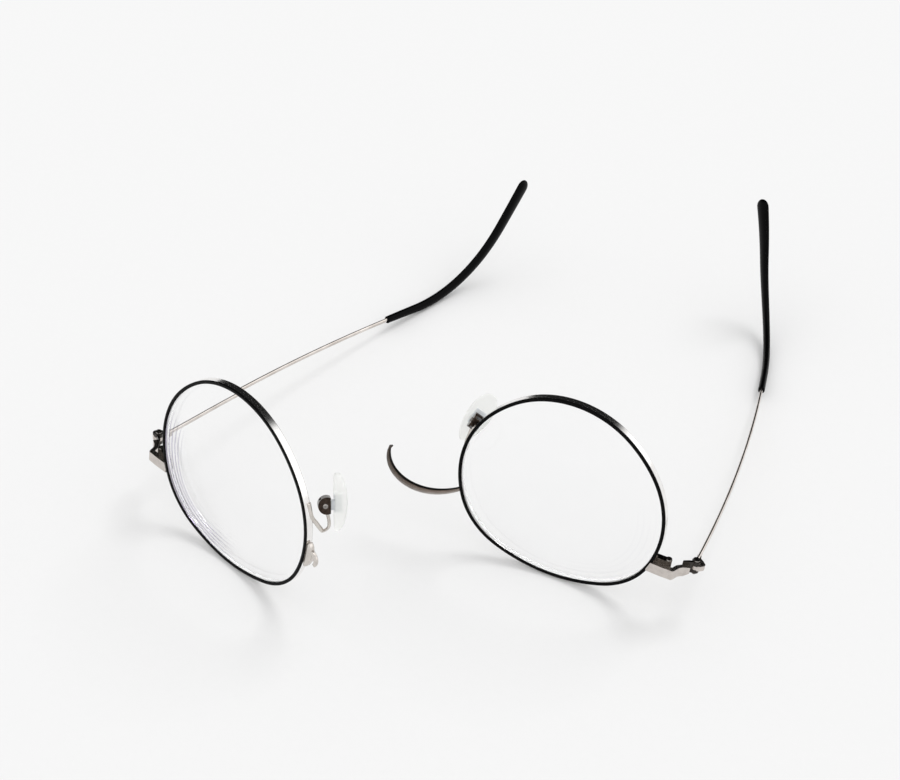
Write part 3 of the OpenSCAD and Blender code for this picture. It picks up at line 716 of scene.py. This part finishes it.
def build_lens(side):
    """Both curved faces and the ground edge with its ridge, as one closed mesh."""
    spots = outline(LENS_STEP)
    gap = RIM_HALF + LENS_PLAY
    count = len(spots)

    def front(x, z):
        return -LENS_DOME + dome_sag(math.hypot(x, z), LENS_FRONT_RADIUS)

    def back(x, z):
        return LENS_MIDDLE - LENS_DOME + dome_sag(math.hypot(x, z), LENS_BACK_RADIUS)

    points, faces = [], []
    inward, sheets = [], []
    for depth in (front, back):
        sheets.append(len(points))
        points.append((0, depth(0, 0), 0))
        inward.append(BROW_DROP)
        for k in range(1, LENS_ROWS + 1):
            share = 1 - (1 - k / LENS_ROWS) ** LENS_CROWDING
            for p, out in spots:
                q = (p - gap * out) * share
                points.append((q[0], depth(*q), q[1]))
                inward.append(float(np.linalg.norm(p)) * (1 - share))
    for middle in sheets:
        rows = [middle + 1 + k * count for k in range(LENS_ROWS)]
        faces += [(middle, rows[0] + j, rows[0] + (j + 1) % count) for j in range(count)]
        for a, b in zip(rows, rows[1:]):
            faces += band(a, b, count)
    ridge = GROOVE - gap - LENS_RIDGE_PLAY
    edge = [sheets[0] + 1 + (LENS_ROWS - 1) * count]
    for grow, depth in ((-gap, LENS_EDGE[0]), (ridge, LENS_RIDGE[0]), (ridge, LENS_RIDGE[1]),
                        (-gap, LENS_EDGE[1])):
        edge.append(len(points))
        for p, out in spots:
            q = p + grow * out
            points.append((q[0], depth, q[1]))
    edge.append(sheets[1] + 1 + (LENS_ROWS - 1) * count)
    for a, b in zip(edge, edge[1:]):
        faces += band(a, b, count)
    lens = make_object(side + "_lens_detail", points, faces, half_matrix(side))
    lens.data.set_sharp_from_angle(angle=math.radians(30))
    on_edge = len(points) - len(inward)
    mark(lens, "ground", [0.0] * len(inward) + [1.0] * on_edge)
    mark(lens, "inward", inward + [0.0] * on_edge)
    # How strongly the painted ring reflections show at each point: only on the lens's lower outer
    # side.
    painted_ring_reflection = [0.0] * len(points)
    for k, (x, _, z) in enumerate(points[:sheets[1]]):
        facing = (RING_SIDE[0] * x + RING_SIDE[1] * z) / max(1.0, math.hypot(x, z))
        shown = max(0.0, min(1.0, (facing - RING_START) / RING_SPREAD))
        painted_ring_reflection[k] = RING_STRENGTH[side] * shown
    mark(lens, "painted_ring_reflection", painted_ring_reflection)
    dress(lens, "lens")
    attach(lens, "broken_halves")
    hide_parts(side + "_lens")


def tip_share(left, used):
    """How full the tip's section is: rounded at its end and at its lip over the wire."""
    if left < TIP_ROUND:
        return max(TIP_END_SHARE, math.sqrt(1 - (1 - left / TIP_ROUND) ** 2))
    lip = TIP_LIP_STEPS[-1]
    if used < lip:
        rounded = math.sqrt(1 - (1 - used / lip) ** 2)
        return TIP_LIP_SHARE + (1 - TIP_LIP_SHARE) * rounded
    return 1.0


def build_temple(side):
    """The bowed wire, and the plastic tip that grows taller toward its end."""
    line = temple_line(side)
    matrix = temple_matrix(side)
    end = LENGTH[side]
    start = end - TIP_LENGTH
    spots = spaced(WIRE_START, start + WIRE_TUCK, WIRE_STEPS)
    wire = sweep(side + "_temple_wire_detail", [on_line(line, s) for s in spots],
                 [(WIRE_WIDTH / 2, WIRE_HEIGHT / 2)] * len(spots), (0, 0, 1), WIRE_SIDES, matrix)
    dress(wire, "temple_wire")
    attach(wire, side + "_temple")
    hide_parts(side + "_temple_wire")
    body = spaced(start, end - TIP_ROUND, TIP_STEPS)
    spots = [start + step for step in TIP_LIP_STEPS]
    spots += [s for s in body if s > start + TIP_LIP_CLEAR]
    spots += [end - TIP_ROUND * (1 - t) for t in TIP_END_STEPS]
    halves = []
    for s in spots:
        share = TIP_SNUG * tip_share(end - s, s - start)
        grown = (s - start) / TIP_LENGTH
        height = TIP_START_HEIGHT + (TIP_END_HEIGHT - TIP_START_HEIGHT) * grown
        halves.append((share * TIP_WIDTH / 2, share * height / 2))
    tip = sweep(side + "_temple_tip_detail", [on_line(line, s) for s in spots], halves,
                (0, 0, 1), TIP_SIDES, matrix)
    dress(tip, "temple_tip")
    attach(tip, side + "_temple")
    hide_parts(side + "_temple_tip")


def build_arm(side):
    """The flat wire from the rim to the pad box."""
    arm = sweep(side + "_pad_arm_detail", through(ARM_PATH[side], ARM_STEPS),
                blended(ARM_HALF, ARM_STEPS), (1, 0, 0), ARM_SIDES, half_matrix(side),
                roundness=ARM_ROUNDNESS)
    dress(arm, "pad_arm")
    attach(arm, "broken_halves")
    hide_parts(side + "_pad_arm")


def build_pad(side):
    """A soft oval shell, domed toward the nose, with a pocket for its core at the back."""
    angles = [2 * math.pi * j / PAD_SIDES for j in range(PAD_SIDES)]
    points, faces = [], []
    levels = []
    for height, share in PAD_SECTIONS:
        levels.append(len(points))
        for a in angles:
            z = share * PAD_SNUG * PAD_LENGTH / 2 * math.cos(a)
            y = share * PAD_SNUG * PAD_WIDTH / 2 * math.sin(a) * (1 + PAD_EGG * math.cos(a))
            full = PAD_SNUG * PAD_THICKNESS - dome_sag(math.hypot(y, z), PAD_DOME_RADIUS)
            points.append((-PAD_REACH - height * full, y, PAD_RISE + z))
    top = len(points)
    points.append((-PAD_REACH - PAD_SNUG * PAD_THICKNESS, 0, PAD_RISE))
    for a, b in zip(levels, levels[1:]):
        faces += band(a, b, PAD_SIDES)
    last = levels[-1]
    faces += [(last + j, last + (j + 1) % PAD_SIDES, top) for j in range(PAD_SIDES)]
    # The pocket's mouth and floor are rectangles with their points at the outline's angles
    wide = INSERT_WIDTH / 2 + INSERT_PLAY
    long = INSERT_LENGTH / 2 + INSERT_PLAY
    mouth, floor = len(points), len(points) + PAD_SIDES
    for depth in (0.0, INSERT_THICKNESS + INSERT_PLAY):
        for a in angles:
            c, s = math.cos(a), math.sin(a)
            reach = 1 / max(abs(c), abs(s))
            points.append((-PAD_REACH - depth, wide * s * reach, PAD_RISE + long * c * reach))
    faces += band(levels[0], mouth, PAD_SIDES) + band(mouth, floor, PAD_SIDES)
    faces.append(tuple(floor + j for j in range(PAD_SIDES)))
    pad = make_object(side + "_nose_pad_detail", points, faces, pad_matrix(side))
    pad.data.set_sharp_from_angle(angle=math.radians(50))
    dress(pad, "nose_pad")
    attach(pad, side + "_pad")
    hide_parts(side + "_nose_pad")


def build_bridge():
    """The band, tallest in its middle, and its thin end bent up where it broke."""
    shares = spaced(0, 1, BRIDGE_STEPS)
    path = [pulled(*BRIDGE, t) for t in shares]
    halves = []
    for t in shares:
        plain = BRIDGE_ROOT_HEIGHT + (BRIDGE_BREAK_HEIGHT - BRIDGE_ROOT_HEIGHT) * t
        height = plain + (BRIDGE_HEIGHT - plain) * math.sin(math.pi * t)
        halves.append((height / 2, BRIDGE_DEPTH / 2))
    path += [np.array(BRIDGE[3], float) + np.array(step, float) for step in HOOK_STEPS]
    halves += HOOK_HALF
    bridge = sweep("right_bridge_detail", path, halves, (0, 1, 0), BRIDGE_SIDES,
                   half_matrix("right"), roundness=BAND_ROUNDNESS)
    dress(bridge, "bridge")
    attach(bridge, "broken_halves")
    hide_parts("right_bridge")


def build_stub():
    """The torn stub, and the flat foot that solders it to the rim."""
    path = [pulled(*STUB, t) for t in spaced(0, 1, STUB_STEPS)]
    halves = blended((STUB_ROOT_HALF, STUB_BREAK_HALF), STUB_STEPS)
    stub = sweep("left_bridge_stub_detail", path, halves, (0, 1, 0), STUB_SIDES,
                 half_matrix("left"), roundness=BAND_ROUNDNESS)
    dress(stub, "pad_arm")
    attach(stub, "broken_halves")
    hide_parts("left_bridge_stub")
    sides = len(STUB_PLATE)
    points = [(x, STUB_PLATE_FRONT, z) for x, z in STUB_PLATE]
    points += [(x, STUB_PLATE_FRONT + STUB_PLATE_DEPTH, z) for x, z in STUB_PLATE]
    faces = [tuple(range(sides)), tuple(range(sides, 2 * sides))]
    faces += band(0, sides, sides)
    foot = make_object("left_bridge_solder_foot", points, faces, half_matrix("left"))
    soften(foot, STUB_PLATE_ROUNDING, segments=4)
    dress(foot, "pad_arm")
    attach(foot, "broken_halves")


for side in SIDES:
    build_rim(side)
    build_lens(side)
    build_temple(side)
    build_arm(side)
    build_pad(side)
build_bridge()
build_stub()

# Parts shown as the CAD's own solids: material, and how far their edges are rounded
SHOWN_CAD = {
    "rim_lock_lower": ("hardware", 0.12), "rim_lock_upper": ("hardware", 0.2),
    "rim_lock_screw": ("screws", 0.05), "endpiece": ("endpiece", 0.12),
    "hinge_front_leaf": ("hinge", 0.08), "hinge_temple_leaf": ("endpiece", 0.15),
    "hinge_screw": ("screws", 0.06), "pad_box": ("pad_box", 0.15),
    "pad_screw": ("screws", 0.05), "pad_insert": ("pad_insert", 0.1),
}
for side in SIDES:
    for part, (slot, width) in SHOWN_CAD.items():
        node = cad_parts[side + "_" + part]
        for spot in node.material_slots:
            spot.material = MATERIALS[slot]
        if not node.material_slots:
            node.data.materials.append(MATERIALS[slot])
        soften(node, width)


# ---------------------------------------------------------------- floor, light and camera
FLOOR_SIZE = 6.0
CAMERA_ELEVATION = 39.29
CAMERA_DISTANCE = 0.41874
CAMERA_ROLL = 1.71
TARGET = Vector((CENTRING[0] * MM, CENTRING[1] * MM, 0.02))
SENSOR = 36.0
FOCAL = 68.4
NEAREST = 0.01
BACKDROP = 0.93
WORLD_LEVEL = 0.96
# What reflections see: a dark side with its soft border, a brighter right and a softbox overhead
DARK_SIDE = (-0.2, 0.85, 0.49)
DARK_BORDER = (0.5, 0.62)
DARK_LEVEL = 0.015
RIGHT_BORDER = (0.5, 0.9)
RIGHT_LEVEL = 1.5
SOFTBOX = (0.0, -0.2, 0.98)
SOFTBOX_BORDER = (0.95, 0.98)
SOFTBOX_LEVEL = 2.0
SUN_FROM = (0.35, 0.45, 0.68)
SUN_POWER = 0.84
SUN_SPREAD = 24


def build_floor():
    """A plain pale floor of matt paper."""
    mesh = bpy.data.meshes.new("floor")
    s = FLOOR_SIZE / 2
    mesh.from_pydata([(-s, -s, 0), (s, -s, 0), (s, s, 0), (-s, s, 0)], [], [(0, 1, 2, 3)])
    floor = bpy.data.objects.new("floor", mesh)
    bpy.context.scene.collection.objects.link(floor)
    n = Nodes("pale_paper")
    grain = n.noise(0.5, 5.0)
    shader = n.add("ShaderNodeBsdfPrincipled", {
        "Base Color": n.mix(n.ramp(grain, 0, 1), colour(0.80, 0.80, 0.80),
                            colour(0.805, 0.805, 0.805)),
        "Roughness": 1.0, "Specular IOR Level": 0.0,
    })
    mesh.materials.append(n.finish(shader.outputs[0]))


def build_world():
    """Even light for the floor, a plain backdrop, and a studio that only reflections see."""
    world = bpy.data.worlds.new("studio")
    bpy.context.scene.world = world
    world.use_nodes = True
    world.cycles.sampling_method = "NONE"
    tree = world.node_tree
    tree.nodes.clear()
    light = add_node(tree, "ShaderNodeLightPath")
    place = add_node(tree, "ShaderNodeTexCoord").outputs["Generated"]

    def toward(direction):
        """How nearly a ray goes a given way."""
        return add_node(tree, "ShaderNodeVectorMath", {0: place, 1: direction},
                        operation="DOT_PRODUCT").outputs["Value"]

    def level(fac, border, low, high):
        return add_node(tree, "ShaderNodeMapRange", {
            "Value": fac, "From Min": border[0], "From Max": border[1],
            "To Min": low, "To Max": high}).outputs[0]

    def combine(operation, a, b):
        return add_node(tree, "ShaderNodeMath", {0: a, 1: b}, operation=operation).outputs[0]

    def white(strength):
        return add_node(tree, "ShaderNodeBackground", {
            "Color": colour(1, 1, 1), "Strength": strength}).outputs[0]

    across = add_node(tree, "ShaderNodeSeparateXYZ", {0: place}).outputs[0]
    sides = combine("MULTIPLY", level(toward(DARK_SIDE), DARK_BORDER, 1.0, DARK_LEVEL),
                    level(across, RIGHT_BORDER, 1.0, RIGHT_LEVEL))
    box = level(toward(SOFTBOX), SOFTBOX_BORDER, 0.0, SOFTBOX_LEVEL)
    studio = white(combine("ADD", sides, box))
    lit = add_node(tree, "ShaderNodeMixShader", {0: light.outputs["Is Glossy Ray"],
                                                 1: white(WORLD_LEVEL), 2: studio})
    direct = combine("MAXIMUM", light.outputs["Is Camera Ray"],
                     light.outputs["Is Transmission Ray"])
    seen = add_node(tree, "ShaderNodeMixShader", {0: direct, 1: lit.outputs[0],
                                                  2: white(BACKDROP)})
    add_node(tree, "ShaderNodeOutputWorld", {"Surface": seen.outputs[0]})


def build_sun():
    """A wide soft key light that reflections do not show."""
    data = bpy.data.lights.new("key", "SUN")
    data.energy = SUN_POWER
    data.angle = math.radians(SUN_SPREAD)
    lamp = bpy.data.objects.new("key", data)
    lamp.rotation_euler = (-Vector(SUN_FROM)).to_track_quat("-Z", "Y").to_euler()
    lamp.visible_glossy = False
    bpy.context.scene.collection.objects.link(lamp)


def build_camera():
    """The photo's view of the two halves."""
    data = bpy.data.cameras.new("camera")
    data.sensor_width = SENSOR
    data.lens = FOCAL
    data.clip_start = NEAREST
    camera = bpy.data.objects.new("camera", data)
    up = math.radians(CAMERA_ELEVATION)
    camera.location = TARGET + CAMERA_DISTANCE * Vector((0, -math.cos(up), math.sin(up)))
    look = Matrix.Rotation(math.pi / 2 - up, 4, "X")
    roll = Matrix.Rotation(math.radians(CAMERA_ROLL), 4, "Z")
    camera.rotation_euler = (look @ roll).to_euler()
    bpy.context.scene.collection.objects.link(camera)
    bpy.context.scene.camera = camera


build_floor()
build_world()
build_sun()
build_camera()
bpy.context.scene.view_settings.view_transform = "Standard"
